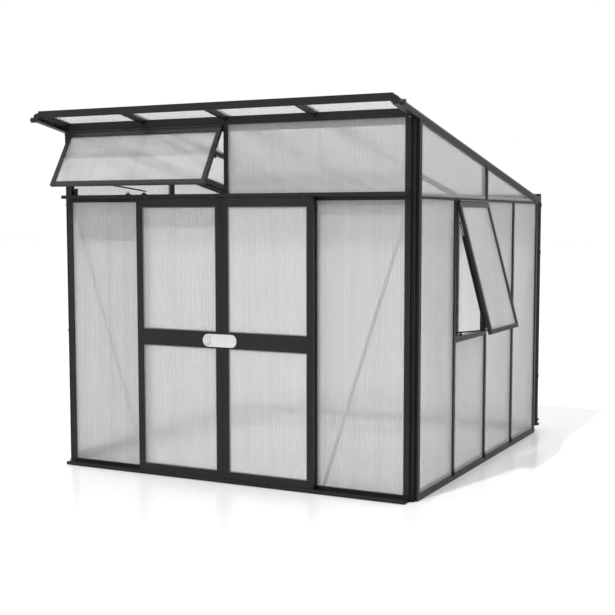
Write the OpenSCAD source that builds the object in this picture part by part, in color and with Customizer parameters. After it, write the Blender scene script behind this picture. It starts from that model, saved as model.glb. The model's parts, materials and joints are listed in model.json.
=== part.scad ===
$fn = 32;

/* [Walls] */
// Width over the side walls
width = 2530; // [2520:2:2544]
// Depth over the front and back walls
depth = 2530; // [2510:5:2550]
// Spacing of the glazing bars
bar_pitch = 610; // [606:1:614]
// Top of the base rails
sill_top = 38; // [36:0.5:40]
// Top of the rail over the doors
rail_top = 1800; // [1796:1:1804]
// Top of the side rails
side_top = 1776; // [1774:1:1778]
// Height of the front band over the doors' rail
band_tall = 472; // [462:1:482]
// Top of the back wall
back_top = 1820.4; // [1819:0.2:1822]

/* [Bars and sheets] */
// Width of a glazing bar's outer face
nose_wide = 28; // [26:0.5:30]
// Thickness of the outer lips
lip_thick = 9; // [8:0.5:10]
// Depth of a glazing bar
bar_deep = 38; // [37:0.5:38.5]
// Thickness of the sheets
sheet = 6; // [5.5:0.1:6.2]
// Reach of a corner post along each wall
post_reach = 75; // [74:0.5:76]

/* [Roof] */
// How far the roof stands out over the doors
overhang = 274; // [262:1:282]
// How far the roof sheets reach over the gutter
drip = 25; // [20:1:27]
// Height of the round shoulder along the verges
verge_shoulder = 21; // [19:0.5:22]

/* [Doors] */
// Thickness of a sliding door
door_thick = 24; // [22:0.5:25]
// Width of the door stiles
stile_wide = 43; // [40:0.5:46]
// Lower edge of the middle rail
mid_low = 847; // [830:1:860]
// Height of the middle rail
mid_tall = 100; // [92:1:104]
// Radius of the door rollers
roller_r = 8; // [7.6:0.1:8.2]

/* [Vent and window] */
// Opening angle of the vent
vent_open = 31; // [30.6:0.1:31.4]
// Opening angle of the window
window_open = 15; // [14.6:0.1:15.4]
// Top of the window sill
window_sill = 902; // [899:1:905]
// Thickness of the hinged frames
sash_thick = 22; // [21:0.5:23]
// Width of the hinged frames' bars
sash_wide = 28; // [26:0.5:30]

/* [Rainwater] */
// Width of the gutter
gutter_wide = 80; // [76:1:84]
// Outer radius of the downpipe
pipe_r = 30; // [29:0.2:31]

/* [Fits] */
// Gap between neighbouring pieces
gap = 0.3; // [0.25:0.01:0.35]
// Radial clearance of the turning pins
running = 0.05; // [0.03:0.01:0.08]

/* [Hidden] */
frame_dark = [0.17, 0.17, 0.17];
sheet_grey = [0.80, 0.81, 0.80];
latch_white = [0.92, 0.92, 0.92];
steel = [0.7, 0.7, 0.7];
black = [0.06, 0.06, 0.06];

mid_x = width / 2;
bay_x = [mid_x - bar_pitch, mid_x, mid_x + bar_pitch];
mid_y = depth / 2;
bay_y = [mid_y - bar_pitch, mid_y, mid_y + bar_pitch];
layer_in = lip_thick + gap;
body_in = layer_in + sheet + gap;
lip_in = body_in + 5.4;
front_top = rail_top + band_tall;
neck = 3;
rail_deep = 40;
floor_z = 24;
sheet_foot = floor_z + gap;
post_core = 55;
rail_low = rail_top - 46;
slot_tall = 14;
side_low = side_top - 16;
plate_low = front_top - 51;
sheet_edge = post_core + gap;
slope = atan((front_top - back_top) / depth);
roof_z = front_top + gap;
foot_in = 70;
anchor_x = 105;
anchor_y = 55;
anchor_r = 5.5;

verge_body = 60;
verge_core = 40;
verge_in = 41;
verge_low = -53.3;
verge_lip = -63;
verge_flat = -24;
knob_r = 17;
knob_reach = 29;
knob_rise = -40;
fascia_drop = 34.2;
fascia_rise = 9.8;
above = front_top + 300;
rafter_front = overhang - 4.3;
nose_front = overhang - 22.3;

door_back = -34;
door_front = door_back - door_thick;
door_low = 20;
door_high = rail_top - 24;
door_wide = bar_pitch + 22 - 0.5;
left_door_x = mid_x - bar_pitch - 22;
right_door_x = mid_x + 0.5;
top_rail_tall = 56;
low_rail_tall = 52;
groove_deep = 8;
roller_in = 66;
track_wall = 2.5;
track_end = 40;
track_front = -62;
track_back = -22;
track_low = rail_top - 22;
roller_y = -54;
roller_wide = 8;
axle_r = 2.5;
roller_z = track_low + track_wall + roller_r + 0.1;
hanger_y = -43;
hanger_thick = 6;

latch_z = mid_low + 47;
latch_pivot_x = mid_x - 101;
latch_y = door_front - 1;
latch_thick = 3;
latch_half = 40;
latch_reach = 207;
latch_back = 36;
latch_end = 30;
latch_pin = 4;

hinge_y = -12;
hinge_drop = 9;
bead_r = 5;
vent_axis_z = front_top - 59;
vent_left = post_reach + 3;
vent_right = mid_x - nose_wide / 2 - 3;
vent_low = rail_top + 4;
window_axis_z = side_top - 19;
window_left = bay_y[0] + nose_wide / 2 + 3;
window_right = bay_y[1] - nose_wide / 2 - 3;
window_low = window_sill + 5;
sash_out = -14;
pivot_in = 23.4;
pivot_up = 16;
stay_wide = 14;
stay_thick = 4;
pin_r = 3;
vent_stay_x = mid_x - 737;
window_stay_y = mid_y - bar_pitch / 2;
peg_top = 22;
peg_in = 29;
peg_r = 3.5;
tube_r = 11;
tube_top = window_axis_z - 222;
tube_low = window_low + 45;
rod_r = 3;
rod_long = 88;

pipe_x = width - 30;
pipe_y = depth + 44;
pipe_foot = 44;
foot_tall = 14;
foot_r = pipe_r + 12;
ring_up = 36;
ring_tall = 14;
ring_r = pipe_r + 8.6;
clip_low = 420;
clip_high = 1380;
clip_tall = 22;
outlet_r = 15;
gutter_low = side_top - 6;
gutter_high = gutter_low + 68;
gutter_end = 12;

function roof_height(y) = roof_z - tan(slope) * y;
function turned(d, z, axis_z, a) = [hinge_y + (d - hinge_y) * cos(a) + (z - axis_z) * sin(a),
  axis_z - (d - hinge_y) * sin(a) + (z - axis_z) * cos(a)];

module place() translate([-width / 2, -depth / 2, 0]) children();
module front_wall() children();
module back_wall() translate([0, depth, 0]) mirror([0, 1, 0]) children();
module right_wall() translate([width, 0, 0]) rotate([0, 0, 90]) children();
module left_wall() translate([width, 0, 0]) mirror([1, 0, 0]) right_wall() children();
module both_sides() {
  children();
  translate([width, 0, 0]) mirror([1, 0, 0]) children();
}
module along(from, to) translate([from, 0, 0]) rotate([90, 0, 90]) linear_extrude(to - from) children();
module roof_frame() translate([0, 0, roof_z]) rotate([-slope, 0, 0]) children();
module roof_run(from, to) translate([0, from, 0]) rotate([90, 0, 0]) mirror([0, 0, 1])
  linear_extrude(to - from) children();
module block(a, b) translate(a) cube([b[0] - a[0], b[1] - a[1], b[2] - a[2]]);

module bar_shape() {
  w = nose_wide / 2;
  polygon([[-w, 0], [w, 0], [w, lip_thick], [neck, lip_thick], [neck, body_in], [12, body_in],
    [12, bar_deep], [4, bar_deep], [4, bar_deep - 5], [7, bar_deep - 5], [7, bar_deep - 12],
    [-7, bar_deep - 12], [-7, bar_deep - 5], [-4, bar_deep - 5], [-4, bar_deep],
    [-12, bar_deep], [-12, body_in], [-neck, body_in], [-neck, lip_thick], [-w, lip_thick]]);
}
module bar(u, low, high) translate([u, 0, low]) linear_extrude(high - low) bar_shape();

module base_shape(foot) {
  polygon([[0, 0], [foot, 0], [foot, 4], [rail_deep, 4], [rail_deep, floor_z], [lip_in, floor_z],
    [lip_in, sill_top], [body_in, sill_top], [body_in, floor_z], [lip_thick, floor_z],
    [lip_thick, sill_top], [0, sill_top]]);
}
module base_rail() along(post_reach + gap, width - post_reach - gap) base_shape(foot_in);
module anchored_rail() {
  difference() {
    base_rail();
    for (x = [anchor_x, width - anchor_x])
      translate([x, anchor_y, -1]) cylinder(h = 6, r = anchor_r);
  }
}
module side_base_rail() along(post_reach + gap, depth - post_reach - gap) base_shape(rail_deep + 12);

module half_post() {
  translate([post_core - 15, 0]) square([post_reach - post_core + 15, lip_thick]);
  translate([post_core - 15, lip_thick - 1]) square([15, body_in - lip_thick + 2]);
  translate([post_core - 1, body_in]) square([post_reach - post_core + 1, lip_in - body_in]);
}
module post_shape() {
  difference() {
    union() {
      translate([body_in, body_in]) square([post_core - body_in, post_core - body_in]);
      half_post();
      mirror([1, -1]) half_post();
    }
    for (k = [22, 31]) {
      translate([k, body_in - 1]) square([4, 5]);
      translate([body_in - 1, k]) square([5, 4]);
    }
  }
}
module post(high) linear_extrude(high) post_shape();
module front_post() {
  difference() {
    post(plate_low - gap);
    roof_frame() block([-1, -100, verge_low - gap], [verge_core + gap, 400, 200]);
  }
}

module front_rail_shape() {
  a = rail_low;
  b = rail_low + slot_tall;
  c = rail_top - slot_tall;
  e = rail_top;
  polygon([[0, a], [lip_thick, a], [lip_thick, b], [body_in, b], [body_in, a], [lip_in, a],
    [lip_in, b], [rail_deep, b], [rail_deep, c], [lip_in, c], [lip_in, e], [body_in, e],
    [body_in, c], [lip_thick, c], [lip_thick, e], [0, e]]);
}
module front_plate_shape() {
  a = plate_low;
  b = plate_low + slot_tall;
  polygon([[0, a], [lip_thick, a], [lip_thick, b], [body_in, b], [body_in, a], [lip_in, a],
    [lip_in, b], [rail_deep, b], [rail_deep, front_top - tan(slope) * rail_deep], [0, front_top]]);
}
module side_rail_shape() {
  a = side_low;
  b = side_low + 6;
  c = side_top - 6;
  e = side_top;
  polygon([[0, a], [lip_thick, a], [lip_thick, b], [body_in, b], [body_in, a], [rail_deep, a],
    [rail_deep, e], [body_in, e], [body_in, c], [lip_thick, c], [lip_thick, e], [0, e]]);
}
module back_plate_shape() {
  a = side_top + gap;
  polygon([[0, a], [rail_deep, a], [rail_deep, back_top + tan(slope) * rail_deep], [0, back_top]]);
}

module verge_shape() {
  wall = -38;
  round_wide = 30;
  shoulder = [for (a = [0 : 15 : 90])
    [-round_wide + round_wide * cos(a), verge_flat + verge_shoulder * sin(a)]];
  polygon(concat([[-verge_body, -34.3], [-verge_core, -34.3], [-verge_core, verge_low], [0, verge_low]],
    shoulder, [[wall, verge_flat + verge_shoulder], [wall, 9.3], [-verge_body, 9.3],
    [-verge_body, sheet + gap], [-verge_in, sheet + gap], [-verge_in, -gap], [-verge_body, -gap]]));
}
module verge_lips() {
  translate([-lip_thick, verge_lip]) square([lip_thick, verge_low - verge_lip + 2]);
  translate([-lip_in, verge_lip]) square([lip_in - body_in, verge_low - verge_lip + 2]);
}
module verge() {
  run = (depth + 60) / cos(slope);
  difference() {
    union() {
      roof_frame() translate([width, 0, 0]) roof_run(-overhang - 30, run) verge_shape();
      roof_frame() translate([width, 0, 0]) roof_run(post_reach, run) verge_lips();
      translate([width - 1, -overhang + knob_r + 1, roof_height(-overhang + knob_r) + knob_rise])
        rotate([0, 90, 0]) cylinder(h = knob_reach + 1, r = knob_r);
    }
    block([width - 100, -overhang - 200, side_low], [width + 100, -overhang, above]);
    block([width - 100, depth, side_low - 300], [width + 100, depth + 300, above]);
    block([width - 100, -overhang - 1, rail_top], [width - verge_in + gap, -nose_front + gap, above]);
    block([width - 100, depth - 400, side_low - 300], [width + 0.01, depth + 1, side_top + gap]);
    block([width - 30, post_reach - 40, rail_top], [width + 0.01, post_reach + gap, plate_low - 12]);
  }
}

module rafter(x) {
  back = (depth - rail_deep) / cos(slope) - gap;
  difference() {
    roof_frame() difference() {
      translate([x, 0, body_in - gap]) rotate([-90, 0, 0]) translate([0, 0, -overhang - 20])
        linear_extrude((depth + drip) / cos(slope) + overhang + 20) bar_shape();
      block([x - 20, -gap, -60], [x + 20, rail_deep + 5, 0]);
      block([x - 20, back, -60], [x + 20, back + 200, 0]);
    }
    block([x - 20, -overhang - 60, rail_top], [x + 20, -rafter_front, above]);
    block([x - 20, -overhang - 60, roof_height(-overhang)], [x + 20, -nose_front + gap, above]);
  }
}
module roof_sheet(a, b) roof_frame() translate([a, 0, 0])
  block([0, -rafter_front / cos(slope) + 1.2, 0], [b - a, (depth + drip) / cos(slope), sheet]);
module fascia_shape() {
  y = overhang;
  low = roof_height(-y) - fascia_drop;
  top = roof_height(-y) + fascia_rise;
  t = roof_height(-y + 4) + (sheet + gap) / cos(slope);
  u = roof_height(-nose_front) + (sheet + gap) / cos(slope);
  polygon([[-y, low], [-y + 18, low], [-y + 18, low + 3], [-y + 4, low + 3], [-y + 4, t + 0.1],
    [-nose_front, u + 0.1], [-nose_front, top - 4], [-y, top]]);
}

module wall_sheet(a, b, low, high) block([a, layer_in, low], [b, layer_in + sheet, high]);
module wall_sheets(lines, span, high) {
  marks = concat([sheet_edge - neck - gap], lines, [span - sheet_edge + neck + gap]);
  for (i = [0 : len(marks) - 2])
    wall_sheet(marks[i] + neck + gap, marks[i + 1] - neck - gap, sheet_foot, high);
}
module gable_sheet(a, b) {
  e = min(b, (roof_z + verge_low / cos(slope) - side_top) / tan(slope));
  low = side_top - 6 + gap;
  t = (verge_low - gap) / cos(slope);
  translate([0, layer_in + sheet, 0]) rotate([90, 0, 0]) linear_extrude(sheet)
    polygon([[a, low], [e, low], [e, roof_height(e) + t], [a, roof_height(a) + t]]);
}

module strip(a, b, low, high) {
  run = sqrt(pow(b[0] - a[0], 2) + pow(b[1] - a[1], 2));
  lean = atan2(b[1] - a[1], b[0] - a[0]);
  intersection() {
    translate([a[0], bar_deep + gap, a[1]]) rotate([0, -lean, 0])
      block([-120, 0, -11], [run + 120, 3, 11]);
    block([low[0], 0, low[1]], [high[0], 100, high[1]]);
  }
}
module front_brace() strip([60, rail_top - 70], [bay_x[0] - 48, sill_top + 5],
  [sheet_edge, sheet_foot], [bay_x[0] - 15, rail_low - gap]);
module side_brace_front() strip([87, side_top - 36], [bay_y[0] + 45, sill_top - 1],
  [sheet_edge, sheet_foot], [bay_y[0] + 105, side_low - gap]);
module side_brace_back() strip([bay_y[2] + 164, sill_top + 5], [depth - 56, side_top - 401],
  [bay_y[2] + 115, sheet_foot], [depth - sheet_edge, side_low]);

module track_shape() {
  t = track_wall;
  difference() {
    translate([track_front, track_low]) square([track_back - track_front, rail_top - track_low]);
    translate([track_front + t, track_low + t])
      square([track_back - track_front - 2 * t, rail_top - track_low - 2 * t]);
    translate([hanger_y - 5, track_low - 1]) square([10, t + 2]);
  }
  translate([track_back - 1, rail_top - 16]) square([-track_back + 1 - gap, 6]);
}
module low_track_shape() {
  polygon([[-61.5, 3], [-30.5, 3], [-30.5, 8], [-gap, 8], [-gap, 11], [-30.5, 11], [-30.5, 24],
    [-33, 24], [-33, 6], [-59, 6], [-59, 24], [-61.5, 24]]);
}

module door_frame() {
  groove = sheet + 2 * gap;
  groove_y = -door_thick / 2 - groove / 2;
  difference() {
    union() {
      block([0, -door_thick, 0], [stile_wide, 0, door_high - door_low]);
      block([door_wide - stile_wide, -door_thick, 0], [door_wide, 0, door_high - door_low]);
      for (z = [[0, low_rail_tall], [mid_low - door_low, mid_low + mid_tall - door_low],
          [door_high - top_rail_tall - door_low, door_high - door_low]])
        block([stile_wide + gap, -door_thick, z[0]], [door_wide - stile_wide - gap, 0, z[1]]);
    }
    for (z = [[low_rail_tall, mid_low - door_low],
        [mid_low + mid_tall - door_low, door_high - door_low - top_rail_tall]])
      block([stile_wide - groove_deep, groove_y, z[0] - groove_deep],
        [door_wide - stile_wide + groove_deep, groove_y + groove, z[1] + groove_deep]);
  }
}
module door_sheets() {
  e = groove_deep - gap;
  for (z = [[low_rail_tall, mid_low - door_low],
      [mid_low + mid_tall - door_low, door_high - door_low - top_rail_tall]])
    block([stile_wide - e, -door_thick / 2 - sheet / 2, z[0] - e],
      [door_wide - stile_wide + e, -door_thick / 2 + sheet / 2, z[1] + e]);
}
module in_door(x) translate([x, door_back, door_low]) children();
module hanger(x) {
  block([x - 16, hanger_y - hanger_thick / 2, door_high], [x + 16, hanger_y + hanger_thick / 2, rail_top - 5]);
  translate([x, hanger_y, roller_z]) rotate([90, 0, 0])
    cylinder(h = hanger_y - track_front - track_wall - 0.7, r = axle_r);
}
module roller(x) {
  translate([x, roller_y + roller_wide / 2, roller_z]) rotate([90, 0, 0]) difference() {
    cylinder(h = roller_wide, r = roller_r);
    translate([0, 0, -1]) cylinder(h = roller_wide + 2, r = axle_r + running);
  }
}
module guide(x) {
  block([x - 20, -57.5, 8], [x + 20, -34.5, door_low]);
  translate([x, door_front, door_low + 12]) rotate([90, 0, 0]) cylinder(h = 1.5, r = 5);
}

module sash_frame(a, b, low, axis_z) {
  high = axis_z - hinge_drop;
  groove = sheet + 2 * gap;
  in_y = sash_out + sash_thick;
  mid = sash_out + sash_thick / 2;
  difference() {
    union() {
      for (u = [a, b - sash_wide])
        block([u, sash_out, low], [u + sash_wide, in_y, high]);
      for (z = [low, high - sash_wide])
        block([a + sash_wide + gap, sash_out, z], [b - sash_wide - gap, in_y, z + sash_wide]);
      translate([a + sash_wide + gap, hinge_y, axis_z]) rotate([0, 90, 0])
        cylinder(h = b - a - 2 * (sash_wide + gap), r = bead_r);
      block([a + sash_wide + gap, hinge_y - 2, high - 1], [b - sash_wide - gap, hinge_y + 2, axis_z - 3]);
    }
    block([a + sash_wide - groove_deep, mid - groove / 2, low + sash_wide - groove_deep],
      [b - sash_wide + groove_deep, mid + groove / 2, high - sash_wide + groove_deep]);
  }
}
module sash_sheet(a, b, low, axis_z) {
  e = sash_wide - groove_deep + gap;
  mid = sash_out + sash_thick / 2;
  block([a + e, mid - sheet / 2, low + e], [b - e, mid + sheet / 2, axis_z - hinge_drop - e]);
}
module swung(axis_z, a) translate([0, hinge_y, axis_z]) rotate([-a, 0, 0])
  translate([0, -hinge_y, -axis_z]) children();
module hinge_rail(a, b, axis_z) {
  difference() {
    along(a, b) translate([hinge_y, axis_z]) difference() {
      union() {
        circle(7.6);
        translate([0, 0.5]) square([-hinge_y - gap, 5]);
        translate([-hinge_y - gap - 3, 0.5]) square([3, 15.5]);
      }
      circle(bead_r + running);
      polygon([[0, 0], [-14 * sin(75), -14 * cos(75)], [-20, -30], [20 * sin(28), -30], [14 * sin(28), -14 * cos(28)]]);
    }
  }
}

function over_peg(u, top) = [u, peg_in, top + gap + stay_thick / 2 + 0.6];
module arm_frame(p, q) {
  translate(p) rotate([0, atan2(p[2] - q[2], norm([q[0] - p[0], q[1] - p[1]])), atan2(q[1] - p[1], q[0] - p[0])])
    children();
}
module arm(p, q) {
  reach = norm(q - p) + 12;
  arm_frame(p, q) translate([0, 0, -stay_thick / 2]) difference() {
    union() {
      cylinder(h = stay_thick, r = stay_wide / 2);
      block([0, -stay_wide / 2, 0], [reach, stay_wide / 2, stay_thick]);
      translate([reach, 0, 0]) cylinder(h = stay_thick, r = stay_wide / 2);
    }
    translate([0, 0, -1]) cylinder(h = stay_thick + 2, r = pin_r + running);
    for (k = [0.3, 0.5, 0.7])
      translate([reach * k, 0, -1]) cylinder(h = stay_thick + 2, r = 3.8);
  }
}
module arm_bracket(p, q, u, low, axis_z, a) {
  in_y = sash_out + sash_thick + gap;
  under = -stay_thick / 2 - gap - 2.7;
  swung(axis_z, a) block([u - 9, in_y, low + 4], [u + 9, in_y + 4, low + 26]);
  arm_frame(p, q) {
    translate([0, 0, under + 1]) cylinder(h = stay_thick + 6, r = pin_r);
    translate([0, 0, under]) cylinder(h = 2.7, r = 8);
    translate([0, 0, under]) rotate([0, 0, -90 - atan2(q[1] - p[1], q[0] - p[0])])
      block([0, -6.5, 0], [18, 6.5, 2.7]);
  }
}
module pegs(marks, floor, top) {
  for (u = marks) {
    block([u - 12, lip_in + 1.4, floor + gap], [u + 12, rail_deep - 2, floor + 3]);
    translate([u, peg_in, floor + 1]) cylinder(h = top - floor - 1, r = peg_r);
  }
}

vent_low_turned = turned(pivot_in, vent_low + pivot_up, vent_axis_z, vent_open);
vent_pivot = [vent_stay_x, vent_low_turned[0], vent_low_turned[1]];
vent_peg_x = [vent_stay_x - 18, vent_stay_x + 107];
vent_peg_z = rail_top + peg_top;
vent_rest = over_peg(vent_peg_x[1], vent_peg_z);
window_low_turned = turned(pivot_in, window_low + pivot_up, window_axis_z, window_open);
window_pivot = [window_stay_y, window_low_turned[0], window_low_turned[1]];
window_peg_y = [window_stay_y - 230, window_stay_y - 117];
window_peg_z = window_sill + peg_top;
window_rest = over_peg(window_peg_y[0], window_peg_z);

module base_rail_front() color(frame_dark) place() front_wall() anchored_rail();
module base_rail_back() color(frame_dark) place() back_wall() anchored_rail();
module base_rail_left() color(frame_dark) place() left_wall() side_base_rail();
module base_rail_right() color(frame_dark) place() right_wall() side_base_rail();
module corner_posts_front() color(frame_dark) place() both_sides() front_post();
module corner_posts_back() color(frame_dark) place() back_wall() both_sides() post(side_top);
module front_rail() color(frame_dark) place()
  along(post_reach + gap, width - post_reach - gap) front_rail_shape();
module front_top_plate() color(frame_dark) place()
  along(verge_body + gap, width - verge_body - gap) front_plate_shape();
module front_mid_post() color(frame_dark) place() bar(mid_x, rail_top + gap, plate_low - gap);
module door_jambs() color(frame_dark) place()
  for (x = [bay_x[0], bay_x[2]]) bar(x, sill_top + gap, rail_low - gap);
module side_rails() color(frame_dark) place() both_sides() left_wall() side_rail();
module side_rail() along(post_reach + gap, depth - post_reach - gap) side_rail_shape();
module back_top_plate() color(frame_dark) place() back_wall() {
  along(verge_body + gap, width - verge_body - gap) back_plate_shape();
  along(post_reach + gap, width - post_reach - gap) {
    translate([0, side_top - 14]) square([lip_thick, 15]);
    translate([body_in, side_top - 14]) square([lip_in - body_in, 15]);
  }
}
module side_wall_bars() color(frame_dark) place() both_sides() left_wall()
  for (y = bay_y) bar(y, sill_top + gap, side_low - gap);
module back_wall_bars() color(frame_dark) place() back_wall()
  for (x = bay_x) bar(x, sill_top + gap, side_top - 14 - gap);
module gable_posts() color(frame_dark) place() both_sides() difference() {
  left_wall() bar(mid_y, side_top + gap, front_top);
  roof_frame() block([-1, 0, verge_lip - gap], [60, depth, 400]);
}
module verges() color(frame_dark) place() both_sides() verge();
module rafters() color(frame_dark) place() for (x = bay_x) rafter(x);
module eave_fascia() color(frame_dark) place()
  along(verge_in + gap, width - verge_in - gap) fascia_shape();
module roof_panels() color(sheet_grey) place() {
  marks = concat([verge_in + gap - neck - gap], bay_x, [width - verge_in - gap + neck + gap]);
  for (i = [0 : 3]) roof_sheet(marks[i] + neck + gap, marks[i + 1] - neck - gap);
}

module gutter_shape() {
  polygon([[gap, gutter_low], [gutter_wide, gutter_low], [gutter_wide, gutter_high],
    [gutter_wide - 2.5, gutter_high], [gutter_wide - 2.5, gutter_low + 2.5], [2.8, gutter_low + 2.5],
    [2.8, gutter_high - 26], [gap, gutter_high - 26]]);
  translate([gutter_wide - 2, gutter_high - 2]) circle(4);
}
module gutter() color(frame_dark) place() difference() {
  along(gutter_end, width - gutter_end) translate([depth, 0]) gutter_shape();
  translate([pipe_x, pipe_y, gutter_low - 5]) cylinder(h = 20, r = outlet_r);
}
module gutter_end_caps() color(frame_dark) place()
  for (x = [gutter_end - 2 - gap, width - gutter_end + gap])
    along(x, x + 2) translate([depth, 0])
      polygon([[gap, gutter_low], [gutter_wide, gutter_low], [gutter_wide, gutter_high], [gap, gutter_high - 26]]);
module downpipe() color(frame_dark) place() translate([pipe_x, pipe_y, 0]) difference() {
  translate([0, 0, pipe_foot]) cylinder(h = gutter_low - gap - pipe_foot, r = pipe_r);
  translate([0, 0, pipe_foot - 1]) cylinder(h = gutter_low - pipe_foot - 4, r = pipe_r - 3);
  translate([0, 0, gutter_low - 70]) cylinder(h = 200, r = outlet_r);
}
module pipe_ring(low, high, r) translate([pipe_x, pipe_y, low]) difference() {
  cylinder(h = high - low, r = r);
  translate([0, 0, -1]) cylinder(h = high - low + 2, r = pipe_r + 0.1);
}
module downpipe_collars() color(frame_dark) place() {
  pipe_ring(pipe_foot, pipe_foot + foot_tall, foot_r);
  pipe_ring(pipe_foot + ring_up, pipe_foot + ring_up + ring_tall, ring_r);
  pipe_ring(gutter_low - 30, gutter_low - gap, 34);
}
module pipe_clip(z) difference() {
  union() {
    pipe_ring(z, z + clip_tall, pipe_r + 3);
    block([pipe_x - 30, depth + gap, z], [pipe_x - 14, depth + 26, z + clip_tall]);
  }
  translate([pipe_x, pipe_y, z - 1]) cylinder(h = clip_tall + 2, r = pipe_r + 0.1);
}
module downpipe_clips() color(frame_dark) place() for (z = [clip_low, clip_high]) pipe_clip(z);

module front_panels() color(sheet_grey) place() {
  wall_sheet(sheet_edge, bay_x[0] - neck - gap, sheet_foot, rail_low + slot_tall - gap);
  wall_sheet(bay_x[2] + neck + gap, width - sheet_edge, sheet_foot, rail_low + slot_tall - gap);
}
module clerestory_panel() color(sheet_grey) place()
  wall_sheet(mid_x + neck + gap, width - sheet_edge, rail_top - slot_tall + gap, plate_low + slot_tall - gap);
module left_wall_panels() color(sheet_grey) place() left_wall()
  wall_sheets(bay_y, depth, side_low + 6 - gap);
module right_wall_panels() color(sheet_grey) place() right_wall() {
  e = neck + gap;
  top = side_low + 6 - gap;
  wall_sheet(sheet_edge, bay_y[0] - e, sheet_foot, top);
  wall_sheet(bay_y[0] + e, bay_y[1] - e, sheet_foot, window_sill - 16 - gap);
  wall_sheet(bay_y[1] + e, bay_y[2] - e, sheet_foot, top);
  wall_sheet(bay_y[2] + e, depth - sheet_edge, sheet_foot, top);
}
module back_wall_panels() color(sheet_grey) place() back_wall()
  wall_sheets(bay_x, width, side_top);
module gable_panels() color(sheet_grey) place() both_sides() left_wall() {
  gable_sheet(sheet_edge, mid_y - neck - gap);
  gable_sheet(mid_y + neck + gap, depth - sheet_edge);
}
module corner_braces() color(steel) place() {
  both_sides() front_brace();
  both_sides() left_wall() {
    side_brace_front();
    side_brace_back();
  }
}

module door_top_track() color(frame_dark) place() along(track_end, width - track_end) track_shape();
module door_bottom_track() color(frame_dark) place()
  along(track_end, width - track_end) low_track_shape();
module track_end_stops() color(black) place() both_sides()
  block([track_end - 2.3, track_front, track_low], [track_end - gap, track_back, rail_top]);
module window_sill_rail() color(frame_dark) place() right_wall()
  along(bay_y[0] + nose_wide / 2 + gap, bay_y[1] - nose_wide / 2 - gap) {
    a = window_sill - 30;
    b = window_sill - 16;
    polygon([[0, a], [lip_thick, a], [lip_thick, b], [body_in, b], [body_in, a], [lip_in, a],
      [lip_in, b], [rail_deep, b], [rail_deep, window_sill], [0, window_sill]]);
  }
module vent_hinge_rail() color(frame_dark) place() hinge_rail(vent_left, vent_right, vent_axis_z);
module window_hinge_rail() color(frame_dark) place() right_wall()
  hinge_rail(window_left, window_right, window_axis_z);
module vent_pegs() color(black) place() pegs(vent_peg_x, rail_top - slot_tall, vent_peg_z);
module window_pegs() color(black) place() right_wall() pegs(window_peg_y, window_sill, window_peg_z);

module left_door_frame() color(frame_dark) place() in_door(left_door_x) door_frame();
module left_door_panels() color(sheet_grey) place() in_door(left_door_x) door_sheets();
module left_door_hangers() color(steel) place()
  for (x = [roller_in, door_wide - roller_in]) hanger(left_door_x + x);
module left_door_guides() color(black) place()
  for (x = [roller_in, door_wide - roller_in]) guide(left_door_x + x);
module right_door_frame() color(frame_dark) place() in_door(right_door_x) door_frame();
module right_door_panels() color(sheet_grey) place() in_door(right_door_x) door_sheets();
module right_door_hangers() color(steel) place()
  for (x = [roller_in, door_wide - roller_in]) hanger(right_door_x + x);
module right_door_guides() color(black) place()
  for (x = [roller_in, door_wide - roller_in]) guide(right_door_x + x);
module left_roller_outer() color(black) place() roller(left_door_x + roller_in);
module left_roller_inner() color(black) place() roller(left_door_x + door_wide - roller_in);
module right_roller_inner() color(black) place() roller(right_door_x + roller_in);
module right_roller_outer() color(black) place() roller(right_door_x + door_wide - roller_in);

module latch_plate() color(latch_white) place()
  translate([latch_pivot_x, latch_y, latch_z]) rotate([90, 0, 0]) difference() {
    union() {
      translate([latch_half - latch_back, 0, 0]) cylinder(h = latch_thick, r = latch_half);
      block([latch_half - latch_back, -latch_half, 0], [latch_reach - latch_end, latch_half, latch_thick]);
      block([0, latch_end - latch_half, 0], [latch_reach, latch_half - latch_end, latch_thick]);
      for (k = [-1, 1])
        translate([latch_reach - latch_end, k * (latch_half - latch_end), 0])
          cylinder(h = latch_thick, r = latch_end);
    }
    translate([0, 0, -1]) cylinder(h = latch_thick + 2, r = latch_pin + running);
  }
module latch_knob() color(latch_white) place()
  translate([latch_pivot_x, door_front, latch_z]) rotate([90, 0, 0]) {
    cylinder(h = 5, r = latch_pin);
    translate([0, 0, latch_thick + 1 + gap]) cylinder(h = 8, r = 22);
  }

module vent_sash_frame() color(frame_dark) place() {
  swung(vent_axis_z, vent_open) sash_frame(vent_left, vent_right, vent_low, vent_axis_z);
  arm_bracket(vent_pivot, vent_rest, vent_stay_x, vent_low, vent_axis_z, vent_open);
}
module vent_sash_panel() color(sheet_grey) place()
  swung(vent_axis_z, vent_open) sash_sheet(vent_left, vent_right, vent_low, vent_axis_z);
module vent_stay() color(black) place() arm(vent_pivot, vent_rest);
module window_sash_frame() color(frame_dark) place() right_wall() {
  swung(window_axis_z, window_open)
    sash_frame(window_left, window_right, window_low, window_axis_z);
  arm_bracket(window_pivot, window_rest, window_stay_y, window_low, window_axis_z, window_open);
}
module window_sash_panel() color(sheet_grey) place() right_wall()
  swung(window_axis_z, window_open)
    sash_sheet(window_left, window_right, window_low, window_axis_z);
module window_stay() color(black) place() right_wall() arm(window_pivot, window_rest);
module window_lift_rod() color(black) place() right_wall() swung(window_axis_z, window_open)
  translate([window_left + tube_r + 2, sash_out + sash_thick + gap + tube_r, 0]) {
    translate([0, 0, tube_low]) cylinder(h = tube_top - tube_low, r = tube_r);
    translate([0, 0, tube_top - 1]) cylinder(h = 9, r = tube_r - 3);
    translate([0, 0, tube_top]) cylinder(h = rod_long, r = rod_r);
    translate([0, 0, tube_top + rod_long - 1]) cylinder(h = 10, r = rod_r + 2);
  }

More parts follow.
